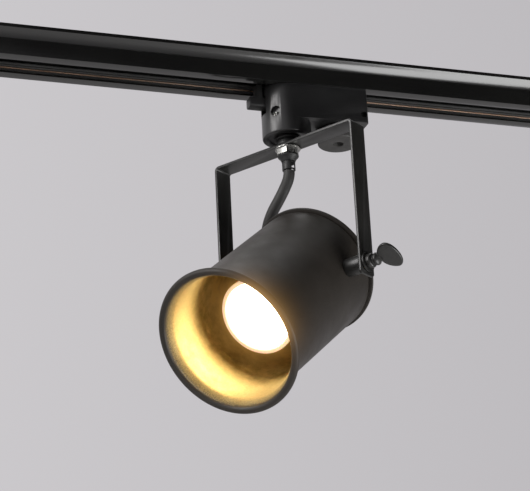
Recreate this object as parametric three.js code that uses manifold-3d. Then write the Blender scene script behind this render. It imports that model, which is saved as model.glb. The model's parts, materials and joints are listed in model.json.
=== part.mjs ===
// Track spotlight: a length of two-wire ceiling track, a track adapter that slides and locks in it,
// a swivelling yoke, and a tilting open lamp head with a push-in reflector lamp.
// Millimetres, +Z up. The origin is on the track's top face, above the swivel axis. X runs along the track.
import * as THREE from 'three';
import { mergeVertices } from 'three/addons/utils/BufferGeometryUtils.js';
import Module from 'manifold-3d';

const wasm = await Module();
wasm.setup();

// ---------------------------------------------------------------- driving dimensions
const GAP = 0.3;                 // clearance between touching pieces

// Track section
const TRACK_LENGTH = 500;
const TRACK_HALF = 17.5;         // half of the 35 mm width
const TRACK_HEIGHT = 22.9;
const TRACK_WALL = 1.4;
const LIP = 2.5;                 // thickness of the top lip
const COVE_DEPTH = 5;
const COVE_BOTTOM = 10.4;
const SLOT_HALF = 9.7;           // half width of the open slot underneath
const FLANGE = 1.2;
const CONDUCTOR_Z = -17.5;
const CONDUCTOR_FACE = 12.4;     // distance of the copper face from the track's centre plane
const SCREW_HOLE_X = 180;        // ceiling screw holes, either side of the centre

// Adapter
const ADAPTER_HALF = 17;         // half width, and the radius of the round boss
const ADAPTER_END_X = 54.6;
const ADAPTER_TOP = -TRACK_HEIGHT - GAP;
const ADAPTER_BOTTOM = -48.3;
const BOSS_BOTTOM = -58.8;
const SHELL = 2;
const KNOB_X = 37.4;
const KNOB_R = 14.3;
const LATCH_TOP = -30;
const LATCH_BOTTOM = -37.2;
const LATCH_TRAVEL = 4;
const SPRING = { x: -11.9, radius: 2.1, wire: 0.4, turns: 3, top: LATCH_BOTTOM - 0.75, bottom: -46.7 };
const BOSS_HOLE = { angle: 225.9, z: -43.4, radius: 3.7 };
const BOSS_SCREW = { angle: 221.5, z: -44.5 };
const END_SCREW = { x: 51.4, z: -42.1 };

// Yoke
const YOKE_YAW = -56;            // degrees, the yoke's bar against the track
const YOKE_WIDTH = 118;          // over the arms
const STRAP = 15;
const STRAP_T = 1.8;
const YOKE_TOP = -63.6;
const BEND_R = 3.2;              // outside radius of the two bends
const PIVOT_Z = -165.5;
const ARM_TAIL = 9;              // arm length past the pivot
const STUD_R = 4.9;
const STUD_BORE = 3;

// Head, measured along its axis from the pivot: + is towards the mouth
const TILT = 37.8;               // degrees that the axis points below level
const SHADE_R = 43.7;
const SHADE_T = 1.2;
const SHADE_REAR = -24.5;
const RIM_R = 2.5;               // radius of the rolled bead
const RIM_CENTRE = 47.7;
const RIM_S = 95.3;
const CAP_R = 45.2;
const LAMP_FRONT = 55.5;
const LAMP_R = 26.1;
const LENS_R = 22.8;
const LEAD_R = 3.9;

// ---------------------------------------------------------------- materials
function finish(color, roughness, metalness, emissive = 0x000000) {
  return new THREE.MeshStandardMaterial({ color, roughness, metalness, emissive });
}
const blackGloss = () => finish(0x121210, 0.22, 0.6);
const blackSatin = () => finish(0x191817, 0.5, 0.4);
const blackPlastic = () => finish(0x1b1b1a, 0.6, 0);
const greyPlastic = () => finish(0x8d8d88, 0.6, 0);
const copper = () => finish(0xc07a52, 0.35, 1);
const brass = () => finish(0xb99a4a, 0.35, 1);
const zinc = () => finish(0xb9bbbb, 0.32, 1);
const steel = () => finish(0x9a9c9e, 0.35, 1);

// ---------------------------------------------------------------- solid modelling helpers
function toSolid(geometry) {
  const bare = geometry.clone();
  bare.deleteAttribute('normal');
  bare.deleteAttribute('uv');
  const merged = mergeVertices(bare, 1e-4);
  const mesh = new wasm.Mesh({
    numProp: 3,
    vertProperties: new Float32Array(merged.attributes.position.array),
    triVerts: new Uint32Array(merged.index.array),
  });
  return new wasm.Manifold(mesh);
}

function toGeometry(solid) {
  const mesh = solid.getMesh();
  const geometry = new THREE.BufferGeometry();
  geometry.setAttribute('position', new THREE.BufferAttribute(new Float32Array(mesh.vertProperties), 3));
  geometry.setIndex(new THREE.BufferAttribute(new Uint32Array(mesh.triVerts), 1));
  geometry.computeVertexNormals();
  return geometry;
}

function combine(base, { add = [], cut = [] }) {
  let solid = toSolid(base);
  for (const piece of add) solid = solid.add(toSolid(piece));
  for (const piece of cut) solid = solid.subtract(toSolid(piece));
  return toGeometry(solid);
}

const AXES = {
  x: [new THREE.Vector3(0, 1, 0), new THREE.Vector3(0, 0, 1), new THREE.Vector3(1, 0, 0)],
  z: [new THREE.Vector3(1, 0, 0), new THREE.Vector3(0, 1, 0), new THREE.Vector3(0, 0, 1)],
};

// A flat outline pushed along an axis, from one height to another.
function slab(shape, from, to, axis = 'z', curveSegments = 8) {
  const geometry = new THREE.ExtrudeGeometry(shape, { depth: to - from, bevelEnabled: false, curveSegments });
  geometry.translate(0, 0, from);
  return geometry.applyMatrix4(new THREE.Matrix4().makeBasis(...AXES[axis]));
}

function outline(points) {
  return new THREE.Shape(points.map(([x, y]) => new THREE.Vector2(x, y)));
}

function box(xMin, xMax, yMin, yMax, zMin, zMax) {
  const geometry = new THREE.BoxGeometry(xMax - xMin, yMax - yMin, zMax - zMin);
  return geometry.translate((xMin + xMax) / 2, (yMin + yMax) / 2, (zMin + zMax) / 2);
}

// An upright round bar between two heights.
function rod(radius, from, to, segments = 24) {
  const geometry = new THREE.CylinderGeometry(radius, radius, to - from, segments);
  return geometry.rotateX(Math.PI / 2).translate(0, 0, (from + to) / 2);
}

// The same bar laid along X.
function rodX(radius, from, to, segments = 24) {
  return rod(radius, from, to, segments).rotateY(Math.PI / 2);
}

// A turned shape about Z, from [radius, height] pairs. An outline clear of the axis is closed on itself.
function turned(profile, segments = 32) {
  const points = profile.map(([radius, height]) => new THREE.Vector2(radius, height));
  if (THREE.ShapeUtils.area(points) < 0) points.reverse();
  if (points[0].x > 0) points.push(points[0].clone());
  return new THREE.LatheGeometry(points, segments).rotateX(Math.PI / 2);
}

function ring(outer, inner, from, to, segments = 28) {
  return turned([[inner, from], [outer, from], [outer, to], [inner, to]], segments);
}

// Points on an arc in the plane of a profile, angles in degrees.
function arc(cx, cy, radius, start, end, steps) {
  return Array.from({ length: steps + 1 }, (_, i) => {
    const angle = THREE.MathUtils.degToRad(start + ((end - start) * i) / steps);
    return [cx + radius * Math.cos(angle), cy + radius * Math.sin(angle)];
  });
}

function tube(points, radius, steps, sides = 8) {
  const path = new THREE.CatmullRomCurve3(points.map((p) => new THREE.Vector3(...p)), false, 'centripetal');
  const section = outline(arc(0, 0, radius, 0, 360 - 360 / sides, sides - 1));
  return new THREE.ExtrudeGeometry(section, { steps, bevelEnabled: false, extrudePath: path });
}

function hexShape(acrossFlats) {
  return outline(arc(0, 0, acrossFlats / Math.sqrt(3), 0, 300, 5));
}

// A pan-head screw along +Z: head from z = 0 to its height, shank below it, with a crossed recess.
function screw(headR, headH, shankR, length) {
  const body = turned([[0, -length], [shankR * 0.7, -length], [shankR, -length + 1], [shankR, 0], [headR, 0],
    [headR, headH * 0.55], [headR * 0.75, headH], [0, headH]], 12);
  const slot = headR * 0.6;
  const width = headR * 0.13;
  return combine(body, {
    cut: [box(-slot, slot, -width, width, headH * 0.5, headH + 1),
      box(-width, width, -slot, slot, headH * 0.5, headH + 1)],
  });
}

// ---------------------------------------------------------------- scene graph
const fixture = new THREE.Group();
const adapter = new THREE.Group();
const yoke = new THREE.Group();
const head = new THREE.Group();
fixture.add(adapter, yoke);
yoke.rotation.z = THREE.MathUtils.degToRad(YOKE_YAW);
yoke.add(head);
// The head's own frame: X along the pivot, Z out of the mouth.
head.position.z = PIVOT_Z;
head.rotation.x = THREE.MathUtils.degToRad(90 + TILT);

function node(parent, name, geometry, material, placement = {}) {
  const mesh = new THREE.Mesh(geometry, material);
  mesh.name = name;
  if (placement.at) mesh.position.set(...placement.at);
  if (placement.turn) mesh.rotation.set(...placement.turn.map(THREE.MathUtils.degToRad));
  parent.add(mesh);
  return mesh;
}

// ---------------------------------------------------------------- track
function mirrored(half) {
  return outline([...half, ...half.slice().reverse().map(([y, z]) => [-y, z])]);
}

function trackRail() {
  // A shallow hollow from under the lip down to the ledge.
  const cove = arc(TRACK_HALF + 8.7, -COVE_BOTTOM - 3.14, 14.06, 128.2, 167.1, 6);
  const neck = TRACK_HALF - COVE_DEPTH - TRACK_WALL;
  const side = TRACK_HALF - TRACK_WALL;
  const shoulder = -COVE_BOTTOM - TRACK_WALL;
  const section = mirrored([
    [TRACK_HALF, 0], ...cove, [TRACK_HALF - 0.6, -COVE_BOTTOM], [TRACK_HALF, -COVE_BOTTOM - 0.6],
    [TRACK_HALF, -TRACK_HEIGHT], [SLOT_HALF, -TRACK_HEIGHT], [SLOT_HALF, -TRACK_HEIGHT + FLANGE],
    [side, -TRACK_HEIGHT + FLANGE], [side, shoulder], [neck, shoulder], [neck, -TRACK_WALL],
  ]);
  const length = slab(section, -TRACK_LENGTH / 2, TRACK_LENGTH / 2, 'x');
  const holes = [-SCREW_HOLE_X, SCREW_HOLE_X].map((x) => rod(2.6, -5, 5, 20).translate(x, 0, 0));
  return combine(length, { cut: holes });
}

// One insulating strip: a spine against the track's wall with ledges above and below the copper.
function insulator(side) {
  const back = TRACK_HALF - TRACK_WALL - GAP;
  const spine = back - 1.5;
  const tip = CONDUCTOR_FACE - 0.2;
  const grip = 0.9;
  const upper = CONDUCTOR_Z + grip;
  const lower = CONDUCTOR_Z - grip;
  const section = [
    [back, -12.2], [back, -21.3], [tip + 1, -21.3], [tip, -20.4], [tip, lower], [spine, lower],
    [spine, upper], [tip, upper], [tip, upper + 1], [spine, upper + 1], [spine, -14.9],
    [tip, -14.9], [tip, -13.7], [spine, -13.7], [spine, -12.2],
  ];
  const length = TRACK_LENGTH / 2 - 27;
  const points = section.map(([y, z]) => [y * side, z]);
  return slab(outline(points), -length, length, 'x');
}

function conductor(side) {
  const back = TRACK_HALF - TRACK_WALL - GAP - 1.5 - GAP;
  const near = side > 0 ? CONDUCTOR_FACE : -back;
  const far = side > 0 ? back : -CONDUCTOR_FACE;
  const length = TRACK_LENGTH / 2 - 22;
  return box(-length, length, near, far, CONDUCTOR_Z - 0.6, CONDUCTOR_Z + 0.6);
}

// Feed block at the live end: a tongue inside the track and a block with the cable inlet outside it.
function liveEndBlock() {
  const start = -TRACK_LENGTH / 2;
  const body = box(start - 34, start - GAP, -TRACK_HALF, TRACK_HALF, -TRACK_HEIGHT, 0);
  const tongue = box(start - 1, start + 20, -SLOT_HALF + 0.4, SLOT_HALF - 0.4, -TRACK_HEIGHT + 1.6, -2.2);
  const inlet = rodX(4.5, start - 40, start - 12, 24).translate(0, 0, -TRACK_HEIGHT / 2);
  const screwHole = rod(1.9, -30, -TRACK_HEIGHT + 9, 16).translate(start - 17, 0, 0);
  const screwSink = rod(3.4, -30, -TRACK_HEIGHT + 1.9, 20).translate(start - 17, 0, 0);
  return combine(body, { add: [tongue], cut: [inlet, screwHole, screwSink] });
}

function liveEndContact(side) {
  const start = -TRACK_LENGTH / 2;
  const inner = (SLOT_HALF - 0.4 + GAP) * side;
  const outer = (CONDUCTOR_FACE - GAP) * side;
  return box(start + 3, start + 30, Math.min(inner, outer), Math.max(inner, outer),
    CONDUCTOR_Z - 1.2, CONDUCTOR_Z + 1.2);
}

function deadEndCap() {
  const end = TRACK_LENGTH / 2;
  const plate = box(end + GAP, end + 3, -TRACK_HALF, TRACK_HALF, -TRACK_HEIGHT, 0);
  const plug = box(end - 16, end + 1, -SLOT_HALF + 0.5, SLOT_HALF - 0.5, -TRACK_HEIGHT + 1.6, -2.2);
  return combine(plate, { add: [plug] });
}

node(fixture, 'track_rail', trackRail(), blackGloss());
for (const [label, side] of [['front', -1], ['rear', 1]]) {
  node(fixture, `track_insulator_${label}`, insulator(side), greyPlastic());
  node(fixture, `track_conductor_${label}`, conductor(side), copper());
  node(fixture, `live_end_contact_${label}`, liveEndContact(side), brass());
}
node(fixture, 'live_end_block', liveEndBlock(), blackPlastic());
node(fixture, 'live_end_screw', screw(3, 1.4, 1.5, 5), steel(),
  { at: [-TRACK_LENGTH / 2 - 17, 0, -TRACK_HEIGHT + 1.9 - GAP], turn: [180, 0, 0] });
node(fixture, 'dead_end_cap', deadEndCap(), blackPlastic());

// ---------------------------------------------------------------- adapter
// Plan of the adapter: a half-round end about the swivel axis, a square end with small corners.
function adapterPlan(inset) {
  const radius = ADAPTER_HALF - inset;
  const end = ADAPTER_END_X - inset;
  const corner = 1.6;
  return outline([
    ...arc(0, 0, radius, 90, 270, 24),
    ...arc(end - corner, -radius + corner, corner, 270, 360, 4),
    ...arc(end - corner, radius - corner, corner, 0, 90, 4),
  ]);
}

// A bar that points out of the round boss at the given place.
function onBoss(geometry, place) {
  return geometry.rotateZ(THREE.MathUtils.degToRad(place.angle)).translate(0, 0, place.z);
}

function adapterHousing() {
  const body = slab(adapterPlan(0), ADAPTER_BOTTOM, ADAPTER_TOP);
  const bossRim = 1;
  const boss = turned([[0, BOSS_BOTTOM], [ADAPTER_HALF - bossRim, BOSS_BOTTOM],
    [ADAPTER_HALF - 0.3, BOSS_BOTTOM + 0.3], [ADAPTER_HALF, BOSS_BOTTOM + bossRim],
    [ADAPTER_HALF, ADAPTER_TOP], [0, ADAPTER_TOP]], 48);
  const cavity = slab(adapterPlan(SHELL), ADAPTER_BOTTOM + SHELL, 0);
  const bossCavity = rod(ADAPTER_HALF - SHELL, BOSS_BOTTOM + 2.5, 0, 40);
  const recess = rod(12, BOSS_BOTTOM - 1, BOSS_BOTTOM + 1, 40);
  const studHole = rod(5.3, BOSS_BOTTOM - 1, BOSS_BOTTOM + 4, 24);
  const knobHole = rod(6.2, ADAPTER_BOTTOM - 1, ADAPTER_BOTTOM + 4, 28).translate(KNOB_X, 0, 0);
  const latchWindow = box(-ADAPTER_HALF - 2, -ADAPTER_HALF + 3, -5, 5, LATCH_BOTTOM - LATCH_TRAVEL - 1, -29);
  const springLedge = box(-ADAPTER_HALF + 1, SPRING.x + 3, -4, 4, SPRING.bottom - 2.7, SPRING.bottom - 0.7);
  const shell = combine(body, { add: [boss] });
  const hollow = combine(shell, { cut: [cavity, bossCavity, recess, studHole, knobHole, latchWindow] });
  // Screw pillars inside the wall, each with a counterbore and a pilot hole.
  const endPillar = box(END_SCREW.x - 3.2, ADAPTER_END_X - 1, -ADAPTER_HALF + 1, -8.6,
    END_SCREW.z - 3.4, END_SCREW.z + 3.4);
  const endSink = rod(2.3, 12.5, 20, 20).rotateX(Math.PI / 2).translate(END_SCREW.x, 0, END_SCREW.z);
  const endPilot = rod(1.3, 6, 14, 12).rotateX(Math.PI / 2).translate(END_SCREW.x, 0, END_SCREW.z);
  return combine(hollow, {
    add: [onBoss(rodX(5.2, 10.8, ADAPTER_HALF - 1, 20), BOSS_HOLE), endPillar, springLedge],
    cut: [onBoss(rodX(BOSS_HOLE.radius, 13.4, 20, 28), BOSS_HOLE), onBoss(rodX(1.5, 6, 15, 12), BOSS_SCREW),
      endSink, endPilot],
  });
}

function adapterBase() {
  const inset = SHELL + GAP;
  const plate = slab(adapterPlan(inset), ADAPTER_TOP - 2.6, ADAPTER_TOP - 0.2);
  const tongueHalf = SLOT_HALF - 0.5;
  const tongue = box(-11.5, 24.5, -tongueHalf, tongueHalf, ADAPTER_TOP - 1, -15);
  const rotorHole = rod(9.6, -40, 0, 32).translate(KNOB_X, 0, 0);
  return combine(plate, { add: [tongue], cut: [rotorHole] });
}

// The catch at the boss end: a thumb tab outside and a lug that stands in the track's slot.
function latchTab() {
  const half = 4.4;
  const round = 2;
  const low = LATCH_BOTTOM + round;
  const section = outline([...arc(-half + round, low, round, 180, 270, 4),
    ...arc(half - round, low, round, 270, 360, 4), [half, LATCH_TOP], [-half, LATCH_TOP]]);
  const thumb = slab(section, -27, -9.4, 'x');
  const lug = box(-21.8, -17.6, -half, half, LATCH_TOP - 1, -20.4);
  return combine(thumb, { add: [lug] });
}

function latchSpring() {
  const perTurn = 10;
  const count = SPRING.turns * perTurn;
  const coil = Array.from({ length: count + 1 }, (_, i) => {
    const angle = (2 * Math.PI * i) / perTurn;
    const rise = ((SPRING.top - SPRING.bottom) * i) / count;
    return [SPRING.radius * Math.cos(angle), SPRING.radius * Math.sin(angle), SPRING.bottom + rise];
  });
  return tube(coil, SPRING.wire, count, 8).translate(SPRING.x, 0, 0);
}

// The rotor turns with the knob: its two wings lie over the track's flanges and carry the contacts.
const WING_R = 11.6;
const BLADE_R = CONDUCTOR_FACE - GAP;
const BLADE_HALF = 2.6;

// A bar across the rotor with ends rounded about the rotor's axis.
function wing(radius, halfWidth, from, to) {
  const reach = THREE.MathUtils.radToDeg(Math.asin(halfWidth / radius));
  const near = arc(0, 0, radius, 90 - reach, 90 + reach, 5);
  const far = arc(0, 0, radius, 270 - reach, 270 + reach, 5);
  return slab(outline([...near, ...far]), from, to);
}

function contactRotor() {
  const shaft = turned([[0, -44], [5.8, -44], [5.8, -26], [9, -25.6], [9, -19.2], [6.2, -19.2], [6.2, -15.4],
    [0, -15.4]], 32);
  const pocket = BLADE_HALF + GAP;
  return combine(shaft, {
    add: [wing(WING_R, 4, -21.4, -19.2)],
    cut: [box(-pocket, pocket, 2.4, 14, -18.3, -16.7), box(-pocket, pocket, -14, -2.4, -18.3, -16.7),
      rod(1.7, -50, -36, 16)],
  });
}

function contactBlade(side) {
  const reach = THREE.MathUtils.radToDeg(Math.asin(BLADE_HALF / BLADE_R));
  const middle = 90 * side;
  const root = 2.7 * side;
  const tip = arc(0, 0, BLADE_R, middle - reach, middle + reach, 6);
  return slab(outline([...tip, [-BLADE_HALF * side, root], [BLADE_HALF * side, root]]), -18, -17);
}

function lockKnob() {
  const top = ADAPTER_BOTTOM - 0.6;
  const edge = 0.8;
  return turned([[1.8, -44.3], [1.8, -51], [3.6, -51], [3.6, BOSS_BOTTOM], [KNOB_R - edge, BOSS_BOTTOM],
    [KNOB_R, BOSS_BOTTOM + edge], [KNOB_R, top], [5.8, top], [5.8, -44.3]], 36);
}

node(adapter, 'adapter_housing', adapterHousing(), blackSatin());
node(adapter, 'adapter_base', adapterBase(), blackPlastic());
const bossTurn = THREE.MathUtils.degToRad(BOSS_SCREW.angle);
node(adapter, 'adapter_boss_screw', screw(1.9, 1.3, 1.2, 6).rotateY(Math.PI / 2), zinc(), {
  at: [13.8 * Math.cos(bossTurn), 13.8 * Math.sin(bossTurn), BOSS_SCREW.z],
  turn: [0, 0, BOSS_SCREW.angle],
});
node(adapter, 'adapter_end_screw', screw(1.9, 1.2, 1, 5).rotateX(Math.PI / 2), blackSatin(),
  { at: [END_SCREW.x, -12.9, END_SCREW.z] });
node(adapter, 'latch_tab', latchTab(), blackPlastic());
node(adapter, 'latch_spring', latchSpring(), steel());

const knob = new THREE.Group();
knob.position.x = KNOB_X;
adapter.add(knob);
node(knob, 'contact_rotor', contactRotor(), blackPlastic());
node(knob, 'contact_blade_front', contactBlade(-1), brass());
node(knob, 'contact_blade_rear', contactBlade(1), brass());
node(knob, 'lock_knob', lockKnob(), blackPlastic());
node(knob, 'lock_knob_screw', screw(2.7, 1.6, 1.4, 13), blackSatin(), { at: [0, 0, -51.3], turn: [180, 0, 0] });

// Brass terminals under the base, and the insulated wires from them to the hollow stud.
for (const [label, side, colour] of [['live', -1, 0x6b3a22], ['neutral', 1, 0x2b4f8c]]) {
  const y = 8 * side;
  node(adapter, `terminal_${label}`, box(23, 29, y - 0.6, y + 0.6, -33, ADAPTER_TOP - 2.6 - GAP), brass());
  const route = [[26, y, -33.9], [24.5, y * 0.97, -37], [14, y * 0.6, -40.5], [5, 2.2 * side, -42.5],
    [1.4, 1.3 * side, -46], [0.4, 1.3 * side, -52], [0, 1.3 * side, -62]];
  node(adapter, `wire_${label}`, tube(route, 0.9, 16, 8), finish(colour, 0.6, 0));
}

// ---------------------------------------------------------------- yoke
const BAR_BOTTOM = YOKE_TOP - STRAP_T;

function yokeBracket() {
  const half = YOKE_WIDTH / 2;
  const foot = PIVOT_Z - ARM_TAIL;
  const inner = BEND_R - STRAP_T;
  const section = outline([
    [-half, foot], ...arc(-half + BEND_R, YOKE_TOP - BEND_R, BEND_R, 180, 90, 5),
    ...arc(half - BEND_R, YOKE_TOP - BEND_R, BEND_R, 90, 0, 5), [half, foot], [half - STRAP_T, foot],
    ...arc(half - BEND_R, YOKE_TOP - BEND_R, inner, 0, 90, 4),
    ...arc(-half + BEND_R, YOKE_TOP - BEND_R, inner, 90, 180, 4), [-half + STRAP_T, foot],
  ]);
  const strip = slab(section, -STRAP / 2, STRAP / 2).rotateX(Math.PI / 2);
  // The arm ends have their corners taken off.
  const clip = 1.6;
  const corners = [-1, 1].map((side) => {
    const edge = (side * STRAP) / 2;
    const cutter = outline([[edge - side * clip, foot], [edge + side, foot - 1], [edge, foot + clip]]);
    return slab(cutter, -half - 1, half + 1, 'x');
  });
  return combine(strip, {
    cut: [rod(STUD_R + 0.4, -100, 0, 24), rodX(2.9, -100, 100, 20).translate(0, 0, PIVOT_Z), ...corners],
  });
}

const NUT_HEIGHT = 5;
const STUD_BOTTOM = -72.6;

// A nut with a serrated flange, flange upwards.
function flangeNut(flangeTop) {
  const teeth = 24;
  const rim = Array.from({ length: teeth * 2 }, (_, i) => {
    const angle = (Math.PI * i) / teeth;
    const radius = i % 2 ? 8.9 : 8.6;
    return [radius * Math.cos(angle), radius * Math.sin(angle)];
  });
  const flange = slab(outline(rim), flangeTop - 0.9, flangeTop);
  const hex = slab(hexShape(14), flangeTop - NUT_HEIGHT, flangeTop - 0.5);
  return combine(flange, { add: [hex], cut: [rod(STUD_R + GAP, -200, 0, 24)] });
}

function hexNut(acrossFlats, from, to, bore) {
  return combine(slab(hexShape(acrossFlats), from, to), { cut: [rod(bore, from - 1, to + 1, 20)] });
}

const NUT_TOP = BAR_BOTTOM - GAP;
const COLLAR_TOP = NUT_TOP - NUT_HEIGHT - GAP;
const COLLAR_BOTTOM = -75.7;
const SLEEVE_BOTTOM = -81.9;

// A thin rim that tapers quickly to the sleeve below it.
function glandCollar() {
  const seat = STUD_BOTTOM - GAP;
  return turned([[STUD_R + GAP, COLLAR_TOP], [7.1, COLLAR_TOP], [7.35, COLLAR_TOP - 0.4],
    [7.2, COLLAR_TOP - 1.1], [6.3, COLLAR_TOP - 1.9], [5.2, -74.4], [4.8, COLLAR_BOTTOM],
    [STUD_BORE, COLLAR_BOTTOM], [STUD_BORE, seat], [STUD_R + GAP, seat]], 32);
}

// The sleeve that grips the top of the lead. A window right through its side leaves a thin leg.
function leadClamp() {
  const sleeve = ring(4.6, 3.3, SLEEVE_BOTTOM, COLLAR_BOTTOM - GAP, 24);
  const window = box(1.9, 3.7, -8, 8, SLEEVE_BOTTOM + 0.7, COLLAR_BOTTOM - 1);
  return combine(sleeve, { cut: [window.rotateZ(THREE.MathUtils.degToRad(38))] });
}

node(yoke, 'yoke_bracket', yokeBracket(), blackSatin());
node(yoke, 'swivel_stud', ring(STUD_R, STUD_BORE, STUD_BOTTOM, -48.4, 24), zinc());
node(yoke, 'swivel_stud_nut', hexNut(15, -54.6, -50, STUD_R + GAP), zinc());
node(yoke, 'swivel_inner_washer', ring(9, STUD_R + GAP, -56, -54.9), zinc());
node(yoke, 'swivel_outer_washer', ring(8.4, STUD_R + GAP, -59.6, -58.1), blackSatin());
node(yoke, 'swivel_spacer', ring(6.8, STUD_R + GAP, YOKE_TOP + GAP, -59.9), blackPlastic());
node(yoke, 'flange_nut', flangeNut(NUT_TOP), zinc());
node(yoke, 'gland_collar', glandCollar(), blackPlastic());
node(yoke, 'lead_clamp', leadClamp(), blackPlastic());

// The sleeved lead, from the clamp round behind the head and into the rear gland. Yoke frame.
const LEAD_ROUTE = [
  [0, 0, SLEEVE_BOTTOM - 2 * GAP], [-0.1, 0, -84.4], [-1.3, 0, -88.6], [-4.9, -0.4, -95], [-10, 0.1, -100.8],
  [-16.2, 1.2, -106.6], [-22.5, 4, -112.2], [-28.4, 9, -117], [-32.6, 16.2, -120.8], [-34.4, 25, -124],
  [-34, 34.2, -126.8], [-31.3, 42.8, -128.8], [-25.2, 49.2, -130.2], [-16.8, 51.6, -131.3],
  [-8.6, 49.2, -132.7], [-2.5, 42.8, -135], [0, 34, -139.1], [0, 29.6, -142.54], [0, 25.4, -145.8],
];
node(yoke, 'lead', tube(LEAD_ROUTE, LEAD_R, 36, 10), finish(0x1a1817, 0.75, 0));

// ---------------------------------------------------------------- head
function lampShade() {
  const inner = SHADE_R - SHADE_T;
  const shoulder = 3;
  const lip = 36;
  const flareStart = 89;
  const bead = arc(RIM_CENTRE, RIM_S, RIM_R, 235, 540, 9);
  const body = turned([
    [lip, SHADE_REAR + SHADE_T], [lip, SHADE_REAR],
    ...arc(SHADE_R - shoulder, SHADE_REAR + shoulder, shoulder, 270, 360, 3),
    [SHADE_R, flareStart], [SHADE_R + 0.5, flareStart + 2.4], ...bead,
    [RIM_CENTRE - RIM_R - 0.4, RIM_S - 1.8], [inner + 1, flareStart + 2.2], [inner, flareStart - 1],
    ...arc(SHADE_R - shoulder, SHADE_REAR + shoulder, shoulder - SHADE_T, 360, 270, 2),
  ], 52);
  return combine(body, { cut: [rodX(2.8, -60, 60, 20)] });
}

const CAP_FRONT = SHADE_REAR - GAP;
const CAP_BACK = CAP_FRONT - 2.4;

function rearCap() {
  const spigot = 35.6;
  const disc = turned([
    [0, CAP_BACK - 0.8], [30, CAP_BACK - 0.8], [38, CAP_BACK], [CAP_R - 0.8, CAP_BACK],
    [CAP_R, CAP_BACK + 0.8], [CAP_R, CAP_FRONT], [spigot, CAP_FRONT], [spigot, CAP_FRONT + 4],
    [spigot - 1.4, CAP_FRONT + 4], [spigot - 1.4, CAP_FRONT], [0, CAP_FRONT],
  ], 44);
  const screwHoles = [-20, 20].map((x) => rod(1.9, -40, -20, 16).translate(x, 0, 0));
  return combine(disc, { cut: [rod(4.2, -40, -20, 24), ...screwHoles] });
}

// Rear gland: a hex flange against the cap and a tapered collar round the lead's end.
const GLAND_BASE = CAP_BACK - 0.8 - GAP;
function rearGland() {
  const hex = slab(hexShape(15), GLAND_BASE - 3, GLAND_BASE);
  const nose = turned([[0, GLAND_BASE - 6.2], [5.3, GLAND_BASE - 6.2], [6.2, GLAND_BASE - 3.4],
    [6.2, GLAND_BASE - 2], [0, GLAND_BASE - 2]], 28);
  const spigot = rod(3.9, GLAND_BASE - 1, -21, 24);
  const mouth = rod(4.3, -40, GLAND_BASE - 2.8, 24);
  return combine(hex, { add: [nose, spigot], cut: [rod(2.4, -40, -10, 20), mouth] });
}

// A stand-off between the shade's curved wall and the yoke's arm.
function pivotBoss(side) {
  const start = side * (SHADE_R - 2);
  const end = side * (YOKE_WIDTH / 2 - STRAP_T - GAP);
  const bar = rodX(6.2, Math.min(start, end), Math.max(start, end), 28);
  const wall = rod(SHADE_R + GAP, -20, 20, 64);
  return combine(bar, { cut: [wall, rodX(2.9, -80, 80, 20)] });
}

const ARM_FACE = YOKE_WIDTH / 2;

// The nut inside the shade that the pivot screw runs into, with a pad that follows the wall.
function pivotNut(side) {
  const inner = SHADE_R - SHADE_T;
  const body = slab(hexShape(9), inner - 5.5, inner + 1).rotateY(Math.PI / 2 * side);
  const outside = combine(rod(80, -10, 10, 64), { cut: [rod(inner - GAP, -20, 20, 64)] });
  return combine(body, { cut: [outside, rodX(2.8, -80, 80, 16)] });
}

function pivotScrewLeft() {
  return combine(turned([[0, 0], [4.6, 0], [4.6, 1.4], [3.4, 3], [0, 3]], 24), {
    add: [rod(2.5, -ARM_FACE + 37, 0.5, 20)],
    cut: [slab(hexShape(3), 1, 4)],
  });
}

// Thumb screw: shank, turned collars and a flat leaf-shaped grip.
function thumbScrew() {
  const stem = turned([[0, -ARM_FACE + 37], [2.5, -ARM_FACE + 37], [2.5, 0], [4.7, 0], [5, 0.6], [5, 2.4],
    [4.4, 3.3], [3, 3.8], [3, 5], [3.9, 5.6], [3.9, 7.4], [3, 8.2], [2.4, 10.4], [0, 10.4]], 20);
  const leaf = new THREE.Shape();
  leaf.moveTo(-2.4, 0);
  leaf.bezierCurveTo(-5.5, 0.2, -9.8, 3.5, -10.7, 8.6);
  leaf.bezierCurveTo(-11, 12.2, -6.5, 14.8, 0, 14.8);
  leaf.bezierCurveTo(6.5, 14.8, 11, 12.2, 10.7, 8.6);
  leaf.bezierCurveTo(9.8, 3.5, 5.5, 0.2, 2.4, 0);
  const grip = slab(leaf, -1.25, 1.25, 'z', 8).rotateX(Math.PI / 2).translate(0, 0, 8.8);
  return combine(stem, { add: [grip] });
}

// Lamp: reflector-shaped body with two bayonet pins behind, a glowing lens and a clear rim ring.
function lampBody() {
  const back = LAMP_FRONT - 36;
  const neck = 10.5;
  const shell = turned([
    [0, back - 12], [neck - 1, back - 12], [neck, back - 11], [neck, back], [13.5, back + 2],
    [19.5, back + 14], [23.6, back + 27], [LAMP_R - 0.4, LAMP_FRONT - 5],
    [LAMP_R - 0.4, LAMP_FRONT - 3.2], [0, LAMP_FRONT - 3.2],
  ], 40);
  const pins = [-5, 5].map((x) => rod(2, back - 18, back - 11, 14).translate(x, 0, 0));
  return combine(shell, { add: pins });
}

function lampRim() {
  return turned([[LENS_R + GAP, LAMP_FRONT - 2.9], [LAMP_R, LAMP_FRONT - 2.9], [LAMP_R, LAMP_FRONT - 0.6],
    [LAMP_R - 0.6, LAMP_FRONT], [LENS_R + 0.9, LAMP_FRONT], [LENS_R + GAP, LAMP_FRONT - 0.8]], 48);
}

function lampLens() {
  return turned([[0, LAMP_FRONT - 2.9], [LENS_R, LAMP_FRONT - 2.9], [LENS_R, LAMP_FRONT - 1.6],
    [LENS_R * 0.7, LAMP_FRONT - 1.1], [LENS_R * 0.35, LAMP_FRONT - 0.8], [0, LAMP_FRONT - 0.7]], 48);
}

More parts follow.
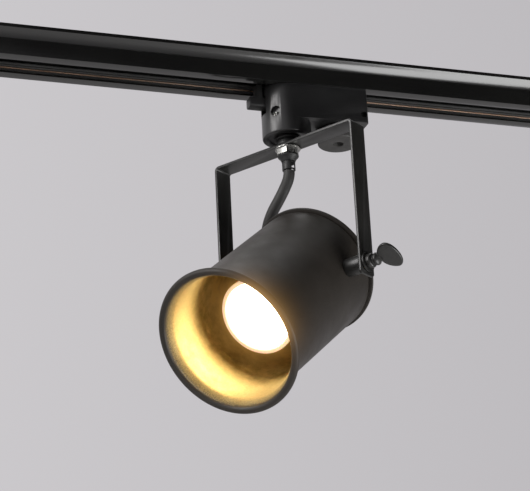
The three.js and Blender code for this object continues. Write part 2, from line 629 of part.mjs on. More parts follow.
// Ceramic lampholder with two keyhole sockets for the lamp's pins.
const HOLDER_FRONT = LAMP_FRONT - 36 - 12 - GAP;
const HOLDER_BACK = HOLDER_FRONT - 13;
function lampHolder() {
  const body = turned([[0, HOLDER_BACK], [11, HOLDER_BACK], [13, HOLDER_BACK + 2], [13, HOLDER_FRONT - 1],
    [12, HOLDER_FRONT], [0, HOLDER_FRONT]], 36);
  const sockets = [-5, 5].map((x) => rod(2.6, HOLDER_FRONT - 8, HOLDER_FRONT + 1, 16).translate(x, 0, 0));
  return combine(body, { cut: sockets });
}

// A bent strap that carries the lampholder on the rear cap.
function holderBracket() {
  const seat = HOLDER_BACK - GAP;
  const foot = CAP_FRONT + GAP;
  const t = 1.2;
  const section = outline([
    [-25, foot], [-15, foot], [-15, seat - t], [15, seat - t], [15, foot], [25, foot], [25, foot + t],
    [15 + t, foot + t], [15 + t, seat], [-15 - t, seat], [-15 - t, foot + t], [-25, foot + t],
  ]);
  const strap = slab(section, -6, 6).rotateX(Math.PI / 2);
  const holes = [-20, 20].map((x) => rod(1.7, -40, -10, 16).translate(x, 0, 0));
  return combine(strap, { cut: [...holes, rod(3.4, -40, 0, 20)] });
}

node(head, 'lamp_shade', lampShade(), blackSatin());
node(head, 'rear_cap', rearCap(), blackSatin());
node(head, 'rear_gland', rearGland(), blackPlastic());
for (const [label, x] of [['left', -20], ['right', 20]]) {
  node(head, `cap_screw_${label}`, screw(3, 1.7, 1.4, 6), steel(),
    { at: [x, 0, CAP_BACK - 0.8 - GAP], turn: [180, 0, 0] });
}
node(head, 'holder_bracket', holderBracket(), steel());
node(head, 'lamp_holder', lampHolder(), finish(0xdedad0, 0.5, 0));
node(head, 'lamp_body', lampBody(), finish(0xd8d8d4, 0.45, 0.1));
node(head, 'lamp_rim', lampRim(), finish(0xe6ddc8, 0.3, 0));
node(head, 'lamp_lens', lampLens(), finish(0xfff3d8, 0.3, 0, 0xffe0a8));
node(head, 'pivot_boss_left', pivotBoss(-1), blackSatin());
node(head, 'pivot_boss_right', pivotBoss(1), blackSatin());
node(head, 'pivot_nut_left', pivotNut(-1), zinc());
node(head, 'pivot_nut_right', pivotNut(1), zinc());
node(head, 'pivot_screw_left', pivotScrewLeft(), blackSatin(),
  { at: [-ARM_FACE - GAP, 0, 0], turn: [0, -90, 0] });
node(head, 'pivot_washer', ring(6.8, 2.9, 0, 1.1), blackSatin(),
  { at: [ARM_FACE + GAP, 0, 0], turn: [0, 90, 0] });

// The thumb screw is set in the yoke's frame, with its leaf lying 27 degrees off level.
node(yoke, 'thumb_screw', thumbScrew(), blackSatin(),
  { at: [ARM_FACE + 1.1 + 2 * GAP, 0, PIVOT_Z], turn: [63, 90, 0] });

// Short insulated tails from the rear gland to the lampholder.
for (const [label, side, colour] of [['live', -1, 0x6b3a22], ['neutral', 1, 0x2b4f8c]]) {
  const route = [[side * 1.1, 0, -26], [side * 1.2, 0, -20.5], [side * 3, 0, -17],
    [side * 8, 0, HOLDER_BACK - 3]];
  node(head, `lamp_tail_${label}`, tube(route, 0.9, 10, 8), finish(colour, 0.6, 0));
}

export default fixture;
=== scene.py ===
import json
import math

import bmesh
import bpy
from mathutils import Matrix, Vector


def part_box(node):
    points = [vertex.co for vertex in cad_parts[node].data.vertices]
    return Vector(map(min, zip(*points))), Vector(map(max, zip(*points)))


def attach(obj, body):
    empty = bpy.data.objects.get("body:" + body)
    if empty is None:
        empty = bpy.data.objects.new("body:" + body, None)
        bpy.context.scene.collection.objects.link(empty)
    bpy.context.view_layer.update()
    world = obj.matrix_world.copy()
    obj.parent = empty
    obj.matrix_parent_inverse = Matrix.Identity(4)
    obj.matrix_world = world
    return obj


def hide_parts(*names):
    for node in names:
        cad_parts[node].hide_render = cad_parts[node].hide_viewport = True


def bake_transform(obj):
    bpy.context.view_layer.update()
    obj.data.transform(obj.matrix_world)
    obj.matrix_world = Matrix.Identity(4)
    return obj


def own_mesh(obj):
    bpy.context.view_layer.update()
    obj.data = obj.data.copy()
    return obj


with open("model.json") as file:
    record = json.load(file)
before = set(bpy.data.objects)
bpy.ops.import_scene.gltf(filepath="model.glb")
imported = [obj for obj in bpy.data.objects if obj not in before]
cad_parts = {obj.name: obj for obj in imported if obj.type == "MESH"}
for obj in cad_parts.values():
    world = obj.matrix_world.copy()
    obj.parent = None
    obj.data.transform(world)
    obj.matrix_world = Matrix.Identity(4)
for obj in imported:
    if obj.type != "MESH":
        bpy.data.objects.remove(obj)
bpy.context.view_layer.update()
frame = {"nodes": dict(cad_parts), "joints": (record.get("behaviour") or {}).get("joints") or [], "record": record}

MM = 0.001
NODES = frame["nodes"]
JOINTS = {joint["name"]: joint for joint in frame["joints"]}
BODY_OF = {node: body for body, members in frame["record"]["behaviour"]["bodies"].items() for node in members}

# ------------------------------------------------------------------ places taken from the frame
UP = Vector((0, 0, 1))
PIVOT = Vector(JOINTS["head_tilt"]["pos_m"])
BAR = Vector(JOINTS["head_tilt"]["axis"]).normalized()     # along the yoke's bar, towards the thumb screw
BEHIND = UP.cross(BAR)                                     # level, away from the mouth
TILT = math.radians(37.8)
MOUTH = -BEHIND * math.cos(TILT) - UP * math.sin(TILT)     # along the head, out of the mouth
OVER = -BEHIND * math.sin(TILT) + UP * math.cos(TILT)


def basis(x, y, z, origin):
    return Matrix.Translation(origin) @ Matrix((x, y, z)).transposed().to_4x4()


HEAD = basis(BAR, OVER, MOUTH, PIVOT)
YOKE = basis(BAR, BEHIND, UP, Vector((0, 0, 0)))


# ------------------------------------------------------------------ camera
AZIMUTH = math.radians(-18.86)
ELEVATION = math.radians(-21.66)
ROLL = math.radians(-2.94)
FOCUS = Vector((-0.0029, 0.0504, -0.1175))
DISTANCE = 1.456
FOCAL_LENGTH = 141.47
SENSOR_WIDTH = 36
FAR_LIMIT = 50


def make_camera():
    """The camera stands below the track, to the left, and looks up at the fixture."""
    level_back = Vector((math.sin(AZIMUTH), -math.cos(AZIMUTH), 0))
    back = level_back * math.cos(ELEVATION) + UP * math.sin(ELEVATION)
    level = Vector((math.cos(AZIMUTH), math.sin(AZIMUTH), 0))
    upright = back.cross(level)
    right = level * math.cos(ROLL) + upright * math.sin(ROLL)
    data = bpy.data.cameras.new("camera")
    data.sensor_width = SENSOR_WIDTH
    data.lens = FOCAL_LENGTH
    data.clip_end = FAR_LIMIT
    camera = bpy.data.objects.new("camera", data)
    bpy.context.scene.collection.objects.link(camera)
    camera.matrix_world = basis(right, back.cross(right), back, FOCUS + back * DISTANCE)
    bpy.context.scene.camera = camera


make_camera()


# ------------------------------------------------------------------ mesh helpers
def new_object(name, verts, faces):
    mesh = bpy.data.meshes.new(name)
    mesh.from_pydata(verts, [], faces)
    mesh.validate()
    obj = bpy.data.objects.new(name, mesh)
    bpy.context.scene.collection.objects.link(obj)
    return obj


def smooth(obj, degrees=32):
    """Smooth shading, kept sharp across edges steeper than the given angle."""
    mesh = obj.data
    for polygon in mesh.polygons:
        polygon.use_smooth = True
    mesh.set_sharp_from_angle(angle=math.radians(degrees))
    return obj


def apply_modifiers(obj):
    bpy.context.view_layer.update()
    graph = bpy.context.evaluated_depsgraph_get()
    mesh = bpy.data.meshes.new_from_object(obj.evaluated_get(graph))
    obj.modifiers.clear()
    obj.data = mesh
    return obj


def bevelled(obj, width, segments=2, degrees=35):
    """Rounds the object's edges that are steeper than the given angle. The width is in metres."""
    modifier = obj.modifiers.new("edges", "BEVEL")
    modifier.limit_method = "ANGLE"
    modifier.angle_limit = math.radians(degrees)
    modifier.width = width
    modifier.segments = segments
    modifier.use_clamp_overlap = True
    return apply_modifiers(obj)


def arc(cx, cy, radius, start, end, steps):
    """Points on a round stretch of a profile, from one angle in degrees to another."""
    angles = [math.radians(start + (end - start) * i / steps) for i in range(steps + 1)]
    return [(cx + radius * math.cos(a), cy + radius * math.sin(a)) for a in angles]


def lathe(name, profile, matrix, segments=128):
    """A turned surface about local Z from (radius, height) pairs in mm, and the profile span of each face.

    A profile clear of the axis closes on itself.
    """
    on_axis = profile[0][0] == 0
    rings, verts = [], []
    for radius, height in profile:
        if radius == 0:
            rings.append([len(verts)])
            verts.append((0, 0, height * MM))
            continue
        rings.append(list(range(len(verts), len(verts) + segments)))
        for k in range(segments):
            a = 2 * math.pi * k / segments
            verts.append((radius * MM * math.cos(a), radius * MM * math.sin(a), height * MM))
    faces, bands = [], []
    spans = len(rings) - 1 if on_axis else len(rings)
    for i in range(spans):
        low, high = rings[i], rings[(i + 1) % len(rings)]
        for k in range(segments):
            n = (k + 1) % segments
            if len(low) == 1:
                faces.append((low[0], high[n], high[k]))
            elif len(high) == 1:
                faces.append((low[k], low[n], high[0]))
            else:
                faces.append((low[k], low[n], high[n], high[k]))
            bands.append(i)
    return new_object(name, [matrix @ Vector(v) for v in verts], faces), bands


def outward(obj):
    """Turns every face outward."""
    bm = bmesh.new()
    bm.from_mesh(obj.data)
    bmesh.ops.recalc_face_normals(bm, faces=bm.faces)
    bm.to_mesh(obj.data)
    bm.free()
    return obj


def catmull_rom(points, per_span):
    """Points on a centripetal Catmull-Rom curve through the given ones."""
    ends = [2 * points[0] - points[1], *points, 2 * points[-1] - points[-2]]
    line = []
    for i in range(1, len(ends) - 2):
        p = ends[i - 1:i + 3]
        t = [0.0]
        for k in range(3):
            t.append(t[-1] + (p[k + 1] - p[k]).length ** 0.5)
        for step in range(per_span):
            u = t[1] + (t[2] - t[1]) * step / per_span
            a = [p[k].lerp(p[k + 1], (u - t[k]) / (t[k + 1] - t[k])) for k in range(3)]
            b = [a[k].lerp(a[k + 1], (u - t[k]) / (t[k + 2] - t[k])) for k in range(2)]
            line.append(b[0].lerp(b[1], (u - t[1]) / (t[2] - t[1])))
    line.append(points[-1].copy())
    return line


def tube(name, line, radius, sides=20):
    """A closed tube along a line, its sections carried on without twist."""
    verts, faces = [], []
    tangent = (line[1] - line[0]).normalized()
    side = tangent.orthogonal().normalized()
    for i, point in enumerate(line):
        ahead = (line[min(i + 1, len(line) - 1)] - line[max(i - 1, 0)]).normalized()
        side = tangent.rotation_difference(ahead) @ side
        side = (side - ahead * side.dot(ahead)).normalized()
        tangent = ahead
        other = tangent.cross(side)
        for k in range(sides):
            a = 2 * math.pi * k / sides
            verts.append(point + (side * math.cos(a) + other * math.sin(a)) * radius)
    for i in range(len(line) - 1):
        for k in range(sides):
            n = (k + 1) % sides
            faces.append((i * sides + k, i * sides + n, (i + 1) * sides + n, (i + 1) * sides + k))
    faces.append(tuple(reversed(range(sides))))
    faces.append(tuple(range((len(line) - 1) * sides, len(line) * sides)))
    return new_object(name, verts, faces)


WELD_DISTANCE = 2e-6
FLAT_ANGLE = math.radians(1)


def eased(node, width):
    """A new piece with a CAD node's own shape and its edges eased by a bevel, its width in mm."""
    bm = bmesh.new()
    bm.from_mesh(NODES[node].data)
    bmesh.ops.remove_doubles(bm, verts=bm.verts, dist=WELD_DISTANCE)
    bmesh.ops.dissolve_limit(bm, angle_limit=FLAT_ANGLE, verts=bm.verts, edges=bm.edges)
    verts = [v.co.copy() for v in bm.verts]
    bm.verts.index_update()
    faces = [[v.index for v in f.verts] for f in bm.faces]
    bm.free()
    return bevelled(new_object(node + "_finished", verts, faces), width * MM)


# ------------------------------------------------------------------ material helpers
class Shader:
    """A material built node by node round one Principled shader."""

    def __init__(self, name, color, roughness, metallic=0.0, **sockets):
        self.material = bpy.data.materials.new(name)
        self.material.use_nodes = True
        self.tree = self.material.node_tree
        self.bsdf = self.tree.nodes["Principled BSDF"]
        self.bsdf.inputs["Base Color"].default_value = (*color, 1)
        self.bsdf.inputs["Roughness"].default_value = roughness
        self.bsdf.inputs["Metallic"].default_value = metallic
        for socket, value in sockets.items():
            self.bsdf.inputs[socket.replace("_", " ")].default_value = value
        self.coords = self.tree.nodes.new("ShaderNodeTexCoord").outputs["Object"]

    def add(self, kind, **values):
        node = self.tree.nodes.new(kind)
        for key, value in values.items():
            setattr(node, key, value)
        return node

    def link(self, a, b):
        self.tree.links.new(a, b)

    def scaled(self, x, y, z):
        node = self.add("ShaderNodeMapping")
        node.inputs["Scale"].default_value = (x, y, z)
        self.link(self.coords, node.inputs["Vector"])
        return node.outputs["Vector"]

    def noise(self, scale, detail=3.0, rough=0.55, vector=None):
        node = self.add("ShaderNodeTexNoise")
        node.inputs["Scale"].default_value = scale
        node.inputs["Detail"].default_value = detail
        node.inputs["Roughness"].default_value = rough
        self.link(vector or self.coords, node.inputs["Vector"])
        return node.outputs["Fac"]

    def ramp(self, fac, low, high, a=0.0, b=1.0):
        """A value that goes from a to b as fac goes from low to high."""
        node = self.add("ShaderNodeMapRange")
        for socket, value in (("From Min", low), ("From Max", high), ("To Min", a), ("To Max", b)):
            node.inputs[socket].default_value = value
        self.link(fac, node.inputs["Value"])
        return node.outputs["Result"]

    def math(self, operation, a, b):
        node = self.add("ShaderNodeMath", operation=operation)
        for socket, value in zip(node.inputs, (a, b)):
            if isinstance(value, (int, float)):
                socket.default_value = value
            else:
                self.link(value, socket)
        return node.outputs[0]

    def mix(self, fac, a, b):
        node = self.add("ShaderNodeMix", data_type="RGBA")
        self.link(fac, node.inputs[0])
        for socket, value in ((node.inputs[6], a), (node.inputs[7], b)):
            if isinstance(value, tuple):
                socket.default_value = (*value, 1)
            else:
                self.link(value, socket)
        return node.outputs[2]

    def color(self, output):
        self.link(output, self.bsdf.inputs["Base Color"])
        return self

    def roughness(self, output):
        self.link(output, self.bsdf.inputs["Roughness"])
        return self

    def bump(self, height, strength, distance):
        node = self.add("ShaderNodeBump")
        node.inputs["Strength"].default_value = strength
        node.inputs["Distance"].default_value = distance
        self.link(height, node.inputs["Height"])
        self.link(node.outputs["Normal"], self.bsdf.inputs["Normal"])
        return self

    def along_head(self):
        """How far a point lies from the tilt pivot towards the mouth, in metres, at rest."""
        return self.math("SUBTRACT", self.dot(MOUTH), MOUTH.dot(PIVOT))

    def dot(self, direction):
        node = self.add("ShaderNodeVectorMath", operation="DOT_PRODUCT")
        self.link(self.coords, node.inputs[0])
        node.inputs[1].default_value = direction
        return node.outputs["Value"]

    def from_axis(self):
        """How far a point lies from the head's axis, in metres, at rest."""
        across = self.math("SUBTRACT", self.dot(BAR), BAR.dot(PIVOT))
        upward = self.math("SUBTRACT", self.dot(OVER), OVER.dot(PIVOT))
        total = self.math("ADD", self.math("MULTIPLY", across, across), self.math("MULTIPLY", upward, upward))
        return self.math("SQRT", total, 0)

    def specks(self, scale, size):
        """1 in small scattered dots, 0 elsewhere."""
        node = self.add("ShaderNodeTexVoronoi")
        node.inputs["Scale"].default_value = scale
        self.link(self.coords, node.inputs["Vector"])
        dots = self.ramp(node.outputs["Distance"], size, size * 0.6)
        few = self.ramp(self.noise(scale * 0.31, 1.0), 0.6, 0.66)
        return self.math("MULTIPLY", dots, few)


def satin_black(name, tone, roughness, grain=1600, strength=0.12, dust=0.05, ior=1.5):
    """Powder coat or satin paint: fine grain, slow changes of gloss and a few specks of dust."""
    s = Shader(name, tone, roughness, IOR=ior)
    slow = s.noise(22, 4)
    paler = tuple(c * 1.45 + 0.002 for c in tone)
    base = s.mix(s.ramp(slow, 0.35, 0.7), tone, paler)
    s.color(s.mix(s.math("MULTIPLY", s.specks(420, 0.09), dust * 4), base, (0.35, 0.33, 0.3)))
    s.roughness(s.ramp(s.noise(60, 4), 0.3, 0.7, roughness - 0.06, roughness + 0.07))
    return s.bump(s.noise(grain, 2), strength, 0.00012).material


def extruded_black(name):
    """Gloss black coat on an extrusion: faint draw lines along the track."""
    s = Shader(name, (0.005, 0.005, 0.005), 0.17, IOR=1.7)
    lines = s.noise(1.0, 5, 0.7, s.scaled(3, 900, 900))
    s.color(s.mix(s.ramp(s.noise(9, 3), 0.3, 0.7), (0.004, 0.004, 0.004), (0.008, 0.008, 0.0075)))
    s.roughness(s.ramp(lines, 0.3, 0.7, 0.14, 0.21))
    return s.bump(lines, 0.04, 0.0001).material


def moulded(name, tone, roughness, strength=0.15):
    """Moulded plastic: spark-eroded texture and slight flow marks."""
    s = Shader(name, tone, roughness)
    s.color(s.mix(s.ramp(s.noise(35, 3), 0.3, 0.7), tone, tuple(c * 1.35 + 0.003 for c in tone)))
    s.roughness(s.ramp(s.noise(90, 3), 0.3, 0.7, roughness - 0.07, roughness + 0.08))
    return s.bump(s.noise(2200, 2), strength, 0.0001).material


def plated(name, tone, roughness, scratch=0.12):
    """Plated or bare metal: patchy shine and hairline marks."""
    s = Shader(name, tone, roughness, 1.0)
    darker = tuple(c * 0.72 for c in tone)
    s.color(s.mix(s.ramp(s.noise(260, 4), 0.35, 0.62), darker, tone))
    s.roughness(s.ramp(s.noise(500, 4), 0.3, 0.7, roughness * 0.8, roughness * 1.5))
    return s.bump(s.noise(1.0, 3, 0.6, s.scaled(400, 2600, 1400)), scratch, 0.00008).material


def copper_strip(name):
    """Copper drawn along the track, stained in places."""
    s = Shader(name, (0.95, 0.64, 0.46), 0.36, 1.0)
    streaks = s.noise(1.0, 4, 0.6, s.scaled(14, 1500, 1500))
    s.color(s.mix(s.ramp(streaks, 0.3, 0.7), (0.88, 0.54, 0.36), (1.0, 0.76, 0.6)))
    s.roughness(s.ramp(s.noise(40, 3), 0.3, 0.7, 0.3, 0.42))
    return s.bump(streaks, 0.1, 0.0001).material


def gold_lining(name):
    """Sprayed gold inside the shade, painted as a lit copy at the front and a shaded copy deeper in. Black
    overspray comes in from the rim in fine grains.
    """
    s = Shader(name, (0.7, 0.5, 0.16), 0.42, 0.8)
    # Painted light: the gold is split at the edge of the lamp's beam. The front is the even lit copy, and deeper
    # in is the shaded copy with painted streaky reflections.
    shaded_gold = s.mix(s.ramp(s.noise(60, 5, 0.68), 0.36, 0.64), (0.44, 0.3, 0.085), (1.0, 0.76, 0.3))
    front = s.mix(s.ramp(s.noise(700, 3), 0.3, 0.7), (0.6, 0.455, 0.185), (0.71, 0.545, 0.24))
    gold = s.mix(s.ramp(s.along_head(), 0.056, 0.07), shaded_gold, front)
    depth = s.math("ADD", s.along_head(), s.ramp(s.noise(1500, 3), 0.2, 0.8, -0.0022, 0.0022))
    spray = s.ramp(depth, 0.0890, 0.0955)
    s.color(s.mix(spray, gold, (0.03, 0.024, 0.018)))
    s.link(s.ramp(spray, 0, 1, 0.8, 0.0), s.bsdf.inputs["Metallic"])
    s.roughness(s.ramp(s.noise(180, 4), 0.3, 0.7, 0.38, 0.52))
    return s.bump(s.noise(1300, 2), 0.25, 0.00012).material


LENS_GLOW = 8.0
RIM_GLOW = 0.25


def lit_lens(name):
    """Frosted lens, lit from behind: white, a little warmer and weaker at its edge."""
    s = Shader(name, (1.0, 0.96, 0.88), 0.35)
    edge = s.ramp(s.from_axis(), 0.019, 0.0228)
    s.link(s.mix(edge, (1.0, 0.86, 0.62), (1.0, 0.78, 0.48)), s.bsdf.inputs["Emission Color"])
    s.bsdf.inputs["Emission Strength"].default_value = LENS_GLOW
    return s.bump(s.noise(900, 2), 0.2, 0.0001).material


def rim_plastic(name):
    """Pale plastic round the lens, lit through from inside."""
    s = Shader(name, (0.82, 0.72, 0.56), 0.35, Subsurface_Weight=0.3, Subsurface_Scale=0.004)
    s.color(s.mix(s.ramp(s.noise(120, 3), 0.3, 0.7), (0.78, 0.68, 0.52), (0.9, 0.82, 0.68)))
    s.bsdf.inputs["Emission Color"].default_value = (1.0, 0.8, 0.6, 1)
    s.bsdf.inputs["Emission Strength"].default_value = RIM_GLOW
    return s.bump(s.noise(1500, 2), 0.1, 0.0001).material


MATERIALS = {
    "track_black": extruded_black("track_black"),
    "adapter_black": satin_black("adapter_black", (0.007, 0.007, 0.0072), 0.36, grain=2200, strength=0.1,
                                 ior=1.62),
    "black_plastic": moulded("black_plastic", (0.010, 0.010, 0.010), 0.46),
    "knob_plastic": moulded("knob_plastic", (0.026, 0.025, 0.024), 0.55, 0.3),
    "grey_insulator": moulded("grey_insulator", (0.05, 0.05, 0.049), 0.45),
    "copper": copper_strip("copper"),
    "brass": plated("brass", (0.76, 0.57, 0.25), 0.3),
    "zinc": plated("zinc", (0.42, 0.42, 0.40), 0.26),
    "steel": plated("steel", (0.5, 0.5, 0.5), 0.3),
    "black_paint": satin_black("black_paint", (0.010, 0.0098, 0.009), 0.34),
    "shade_paint": satin_black("shade_paint", (0.0185, 0.0155, 0.0125), 0.52, grain=2600, strength=0.2,
                               dust=0.08, ior=1.38),
    "lead_sleeve": moulded("lead_sleeve", (0.024, 0.023, 0.022), 0.58, 0.35),
    "brown_wire": moulded("brown_wire", (0.16, 0.07, 0.035), 0.5),
    "blue_wire": moulded("blue_wire", (0.04, 0.12, 0.36), 0.5),
    "ceramic": moulded("ceramic", (0.76, 0.74, 0.68), 0.4),
    "lamp_white": moulded("lamp_white", (0.74, 0.73, 0.7), 0.38),
    "lamp_rim_plastic": rim_plastic("lamp_rim_plastic"),
    "lamp_lens_lit": lit_lens("lamp_lens_lit"),
}
GOLD = gold_lining("shade_gold")
SLOT_OF = {part["node"]: part["material_slot"] for part in frame["record"]["subparts"]}


def dress(obj, slot, *more):
    """Gives the object its slot's material, and any others after it."""
    obj.data.materials.clear()
    for material in (MATERIALS[slot], *more):
        obj.data.materials.append(material)
    return obj


def stand_in(piece, node, *more):
    """Smooth, dressed and riding on the body of the CAD node that it stands for."""
    smooth(piece)
    dress(piece, SLOT_OF[node], *more)
    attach(piece, BODY_OF[node])
    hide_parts(node)
    return piece


# ------------------------------------------------------------------ CAD nodes that keep their shape
for node, obj in NODES.items():
    dress(obj, SLOT_OF[node])


# ------------------------------------------------------------------ pieces with eased edges
# The bevel's width in mm.
EASED = {
    "track_rail": 0.08, "track_conductor_front": 0.45, "track_conductor_rear": 0.45,
    "track_insulator_front": 0.12, "track_insulator_rear": 0.12, "live_end_block": 0.5, "dead_end_cap": 0.4,
    "adapter_housing": 0.2, "lock_knob": 0.3, "latch_tab": 0.5, "yoke_bracket": 0.28, "flange_nut": 0.1,
    "gland_collar": 0.2, "lead_clamp": 0.15, "swivel_outer_washer": 0.2, "swivel_spacer": 0.3,
    "adapter_boss_screw": 0.12, "adapter_end_screw": 0.1, "lock_knob_screw": 0.12, "live_end_screw": 0.12,
    "cap_screw_left": 0.15, "cap_screw_right": 0.15, "pivot_screw_left": 0.2, "pivot_washer": 0.2,
    "rear_gland": 0.3, "pivot_boss_left": 0.25, "pivot_boss_right": 0.25,
}
for node, width in EASED.items():
    stand_in(eased(node, width), node)


# ------------------------------------------------------------------ shade
def make_shade():
    """Spun tube with a rolled bead at the mouth, black outside and gold inside."""
    radius, wall, rear, shoulder, rear_opening = 43.7, 1.2, -24.5, 3.0, 36
    bead_centre, bead_height, bead = 47.7, 95.3, 2.5
    flare = 89.0
    inner = radius - wall
    turn = radius - shoulder
    outside = [(rear_opening, rear), *arc(turn, rear + shoulder, shoulder, 270, 360, 10), (radius, flare),
               (radius + 0.5, flare + 2.4), *arc(bead_centre, bead_height, bead, 235, 500, 26)]
    inside = [*arc(bead_centre, bead_height, bead, 510, 540, 3),
              (bead_centre - bead - 0.4, bead_height - 1.8), (inner + 1, flare + 2.2), (inner, flare - 1),
              *arc(turn, rear + shoulder, shoulder - wall, 360, 270, 8), (rear_opening, rear + wall)]
    piece, bands = lathe("lamp_shade_spun", outside + inside, HEAD, 160)
    outward(piece)
    stand_in(piece, "lamp_shade", GOLD)
    first_gold = len(outside) - 1
    for polygon, band in zip(piece.data.polygons, bands):
        polygon.material_index = 1 if first_gold <= band < len(outside) + len(inside) - 1 else 0


def make_rear_cap():
    """Disc with a raised middle, rounded edges, a spigot inside the shade and a hole for the gland."""
    front, back, radius, hole = -24.8, -27.2, 45.2, 4.2
    raised, raised_radius = 0.8, 30
    spigot, spigot_wall, spigot_depth = 35.6, 1.4, 4
    profile = [(hole, back - raised), (raised_radius, back - raised), *arc(38, back + 0.2, 1.0, 250, 270, 2),
               *arc(radius - 0.8, back + 0.8, 0.8, 270, 360, 5),
               *arc(radius - 0.4, front - 0.4, 0.4, 0, 90, 3),
               (spigot, front), (spigot, front + spigot_depth), (spigot - spigot_wall, front + spigot_depth),
               (spigot - spigot_wall, front), (hole, front)]
    piece, _ = lathe("rear_cap_turned", profile, HEAD, 144)
    stand_in(outward(piece), "rear_cap")


make_shade()
make_rear_cap()


# ------------------------------------------------------------------ lamp
def make_lamp():
    """Slightly domed lens, set a little back in its ring."""
    front, radius, lens_radius, gap = 55.5, 26.1, 22.8, 0.3
    crown, fall, steps = front - 0.7, 0.9, 12
    back = front - 2.9
    dome = [(lens_radius * k / steps, crown - fall * (k / steps) ** 2) for k in range(steps + 1)]
    lens, _ = lathe("lamp_lens_domed", [*dome, (lens_radius, back), (0, back)], HEAD, 96)
    stand_in(outward(lens), "lamp_lens")
    rim, _ = lathe("lamp_rim_turned", [
        (lens_radius + gap, back), (radius, back), (radius, front - 0.9),
        *arc(radius - 0.8, front - 0.8, 0.8, 0, 90, 6), *arc(lens_radius + 1.1, front - 0.5, 0.5, 90, 180, 4),
        (lens_radius + gap, front - 1.2)], HEAD, 96)
    stand_in(outward(rim), "lamp_rim")


make_lamp()


# ------------------------------------------------------------------ thumb screw
def bezier(a, b, c, d, steps=12):
    """Points on a cubic curve from a to d, without a itself."""
    points = []
    for k in range(1, steps + 1):
        t = k / steps
        weights = ((1 - t) ** 3, 3 * t * (1 - t) ** 2, 3 * t * t * (1 - t), t ** 3)
        points.append(tuple(sum(w * p[axis] for w, p in zip(weights, (a, b, c, d))) for axis in (0, 1)))
    return points


def make_thumb_screw():
    """Turned stem with two collars, and a flat leaf with a rounded edge, lying off level."""
    arm_face, washer, gap, lie = 59.0, 1.1, 0.3, math.radians(27)
    width = BEHIND * math.cos(lie) - UP * math.sin(lie)
    place = basis(width, BAR.cross(width), BAR, PIVOT + BAR * (arm_face + washer + 2 * gap) * MM)
    stem, _ = lathe("thumb_screw_stem", [
        (0, -22), (2.1, -22), (2.5, -21.5), (2.5, 0), (4.6, 0), *arc(4.3, 0.7, 0.7, 300, 360, 3), (5, 2.2),
        *arc(3.6, 2.2, 1.4, 0, 80, 5), (3.1, 3.9), (2.9, 4.5), *arc(2.9, 6.4, 1.5, 300, 420, 8), (2.8, 8.4),
        (2.4, 9.4), (2.1, 10.4), (0, 10.6)], place, 48)
    outline = [(-2.4, 0),
               *bezier((-2.4, 0), (-5.5, 0.2), (-9.8, 3.5), (-10.7, 8.6)),
               *bezier((-10.7, 8.6), (-11, 12.2), (-6.5, 14.8), (0, 14.8)),
               *bezier((0, 14.8), (6.5, 14.8), (11, 12.2), (10.7, 8.6)),
               *bezier((10.7, 8.6), (9.8, 3.5), (5.5, 0.2), (2.4, 0))]
    foot, half_thickness, edge = 8.8, 1.25, 1.0
    count = len(outline)
    verts = [place @ (Vector((x, side * half_thickness, foot + y)) * MM)
             for side in (-1, 1) for x, y in outline]
    faces = [tuple(range(count)), tuple(reversed(range(count, 2 * count)))]
    faces += [(k, k + count, (k + 1) % count + count, (k + 1) % count) for k in range(count)]
    leaf = bevelled(outward(new_object("thumb_screw_leaf", verts, faces)), edge * MM, segments=5, degrees=50)
    for piece in (leaf, outward(stem)):
        smooth(piece)
        dress(piece, "black_paint")
        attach(piece, "thumb")
    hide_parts("thumb_screw")


make_thumb_screw()


# ------------------------------------------------------------------ lead
def make_lead():
    """The sleeved lead from the yoke's clamp round behind the head and into its rear gland.

    Its route is in the yoke's frame.
    """
    route = [(0, 0, -82.5), (-0.1, 0, -84.4), (-1.3, 0, -88.6), (-4.9, -0.4, -95), (-10, 0.1, -100.8),
             (-16.2, 1.2, -106.6), (-22.5, 4, -112.2), (-28.4, 9, -117), (-32.6, 16.2, -120.8),
             (-34.4, 25, -124), (-34, 34.2, -126.8), (-31.3, 42.8, -128.8), (-25.2, 49.2, -130.2),
             (-16.8, 51.6, -131.3), (-8.6, 49.2, -132.7), (-2.5, 42.8, -135), (0, 34, -139.1),
             (0, 29.6, -142.54), (0, 25.4, -145.8)]
    line = catmull_rom([YOKE @ Vector(p) * MM for p in route], 8)
    diameter = 7.8 * MM
    piece = tube("lead_sleeve", line, diameter / 2, 24)
    smooth(piece)
    dress(piece, "lead_sleeve")
    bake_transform(piece)
    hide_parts("lead")


make_lead()


# ------------------------------------------------------------------ latch spring
def make_latch_spring():
    """Closed-end coil under the latch's tab."""
    low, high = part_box("latch_spring")
    centre = (low + high) / 2
    wire = 0.4 * MM
    radius = (high.x - low.x) / 2 - wire
    turns, per_turn = 4, 20
    count = turns * per_turn
    line = []
    for i in range(count + 1):
        a = 2 * math.pi * i / per_turn
        rise = low.z + wire + (high.z - low.z - 2 * wire) * i / count
        line.append(Vector((centre.x + radius * math.cos(a), centre.y + radius * math.sin(a), rise)))
    piece = tube("latch_spring_coil", line, wire, 8)
    smooth(piece)
    dress(piece, "steel")
    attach(piece, "adapter")
    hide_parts("latch_spring")
    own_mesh(piece)


make_latch_spring()


# ------------------------------------------------------------------ floor, lights and surroundings
def make_floor():
    size, drop = 9.0, -1.15
    verts = [(x * size, y * size, drop) for x, y in ((-1, -1), (1, -1), (1, 1), (-1, 1))]
    floor = new_object("floor", verts, [(0, 1, 2, 3)])
    s = Shader("pale_floor", (0.78, 0.775, 0.765), 0.8)
    s.color(s.mix(s.ramp(s.noise(2.5, 4), 0.3, 0.7), (0.76, 0.755, 0.745), (0.8, 0.795, 0.785)))
    s.bump(s.noise(300, 3), 0.1, 0.0005)
    floor.data.materials.append(s.material)


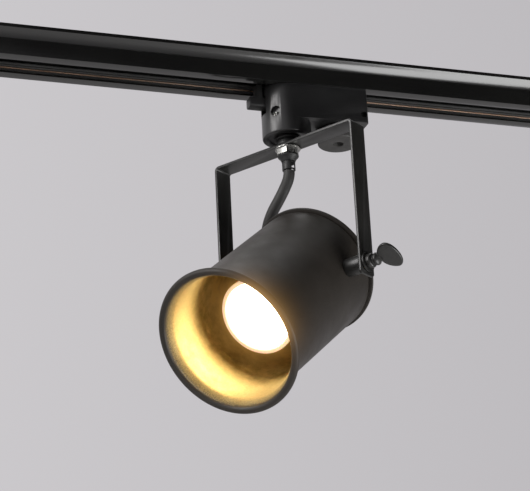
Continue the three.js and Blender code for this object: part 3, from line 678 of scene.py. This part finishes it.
def area_light(name, place, target, size, radiance, color=(1, 1, 1)):
    """A rectangle that shines at the target and isn't seen by the camera itself."""
    data = bpy.data.lights.new(name, "AREA")
    data.shape = "RECTANGLE"
    data.size, data.size_y = size
    data.energy = radiance * math.pi * size[0] * size[1]
    data.color = color
    light = bpy.data.objects.new(name, data)
    bpy.context.scene.collection.objects.link(light)
    light.location = place
    light.rotation_euler = (Vector(target) - Vector(place)).to_track_quat("-Z", "Y").to_euler()
    light.visible_camera = False
    return light


def make_lights():
    """A tall box on the left, a wide low one on the right that shows in the track's cove, one overhead."""
    middle = Vector((0, 0, -0.13))
    area_light("left_softbox", (-1.43, -0.33, 0.5), middle, (0.5, 1.2), 10, (1, 0.98, 0.97))
    area_light("low_softbox", (0.9, -0.75, -0.95), (0.1, -0.05, 0), (1.2, 1.0), 6)
    area_light("high_softbox", (0.5, 0.5, 2.2), (0.2, 0.2, -1.15), (1.8, 1.8), 2.8)


def make_world():
    """Pale walls all round, brighter on the left, with a wide dark patch high on the near right."""
    world = bpy.data.worlds.new("surroundings")
    bpy.context.scene.world = world
    world.use_nodes = True
    tree = world.node_tree
    direction = tree.nodes.new("ShaderNodeTexCoord").outputs["Generated"]

    def blend(axis, low, high, kind, a, b):
        """Colour a where the direction's part along the axis is low, and b where it is high."""
        lean = tree.nodes.new("ShaderNodeVectorMath")
        lean.operation = "DOT_PRODUCT"
        lean.inputs[1].default_value = axis
        tree.links.new(direction, lean.inputs[0])
        share = tree.nodes.new("ShaderNodeMapRange")
        share.interpolation_type = kind
        share.inputs["From Min"].default_value = low
        share.inputs["From Max"].default_value = high
        tree.links.new(lean.outputs["Value"], share.inputs["Value"])
        mixer = tree.nodes.new("ShaderNodeMix")
        mixer.data_type = "RGBA"
        tree.links.new(share.outputs["Result"], mixer.inputs[0])
        for socket, value in ((mixer.inputs[6], a), (mixer.inputs[7], b)):
            if isinstance(value, tuple):
                socket.default_value = (*value, 1)
            else:
                tree.links.new(value, socket)
        return mixer.outputs[2]

    walls = blend((0.951, -0.305, 0), -1.0, 1.0, "LINEAR", (0.85, 0.83, 0.85), (0.27, 0.258, 0.277))
    room = blend((0.659, -0.557, 0.507), 0.2, 0.7, "SMOOTHSTEP", walls, (0.012, 0.012, 0.012))
    tree.links.new(room, tree.nodes["Background"].inputs["Color"])


def make_glare():
    """The lamp's light spreads a little in the picture, as it does in a real lens."""
    scene = bpy.context.scene
    scene.use_nodes = True
    nodes, links = scene.node_tree.nodes, scene.node_tree.links
    nodes.clear()
    layers = nodes.new("CompositorNodeRLayers")
    glare = nodes.new("CompositorNodeGlare")
    glare.glare_type = "BLOOM"
    glare.inputs["Threshold"].default_value = 3.0
    glare.inputs["Strength"].default_value = 0.26
    glare.inputs["Size"].default_value = 0.1
    glare.inputs["Tint"].default_value = (1.0, 0.62, 0.22, 1)
    out = nodes.new("CompositorNodeComposite")
    links.new(layers.outputs["Image"], glare.inputs["Image"])
    links.new(glare.outputs["Image"], out.inputs["Image"])


make_floor()
make_lights()
make_world()
make_glare()
bpy.context.scene.view_settings.view_transform = "Standard"
